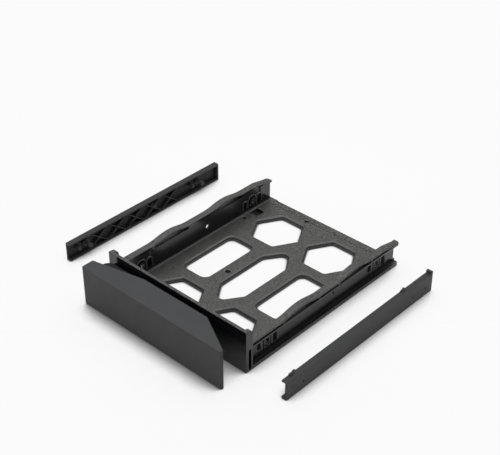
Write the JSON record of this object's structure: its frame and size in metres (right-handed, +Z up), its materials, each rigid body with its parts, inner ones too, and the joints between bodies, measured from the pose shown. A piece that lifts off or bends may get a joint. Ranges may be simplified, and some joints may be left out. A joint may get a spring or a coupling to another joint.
{
  "type": "hard drive tray",
  "caption": "Open plastic tray that carries a hard drive into a storage box, with a pierced floor, sprung side rails, a hinged front handle and clip-in side panels shown taken off.",
  "frame": {"origin": "on the underside of the tray, at mid-width, below the inner face of the front wall", "axes": "+X to the right seen from the front, +Y to the rear along the drive, +Z up"},
  "size_m": [0.19, 0.1621, 0.0292],
  "materials": {
    "tray_plastic": "black plastic, spark-textured on top, smooth on upright faces",
    "handle_plastic": "dark grey satin plastic",
    "panel_plastic": "dark grey fine-textured plastic",
    "pin_steel": "bright steel"
  },
  "bodies": {
    "tray": {"tray_frame": "tray_plastic", "handle_hinge_pin": "pin_steel", "left_fastening_panel": "panel_plastic", "right_fastening_panel": "panel_plastic"},
    "handle": {"front_handle": "handle_plastic"}
  },
  "joints": [
    {"name": "handle_swing", "type": "hinge", "parent": "tray", "child": "handle", "pos_m": [-0.0499, -0.0091, 0.0125], "axis": [0, 0, -1], "range_deg": [0, 45]}
  ]
}
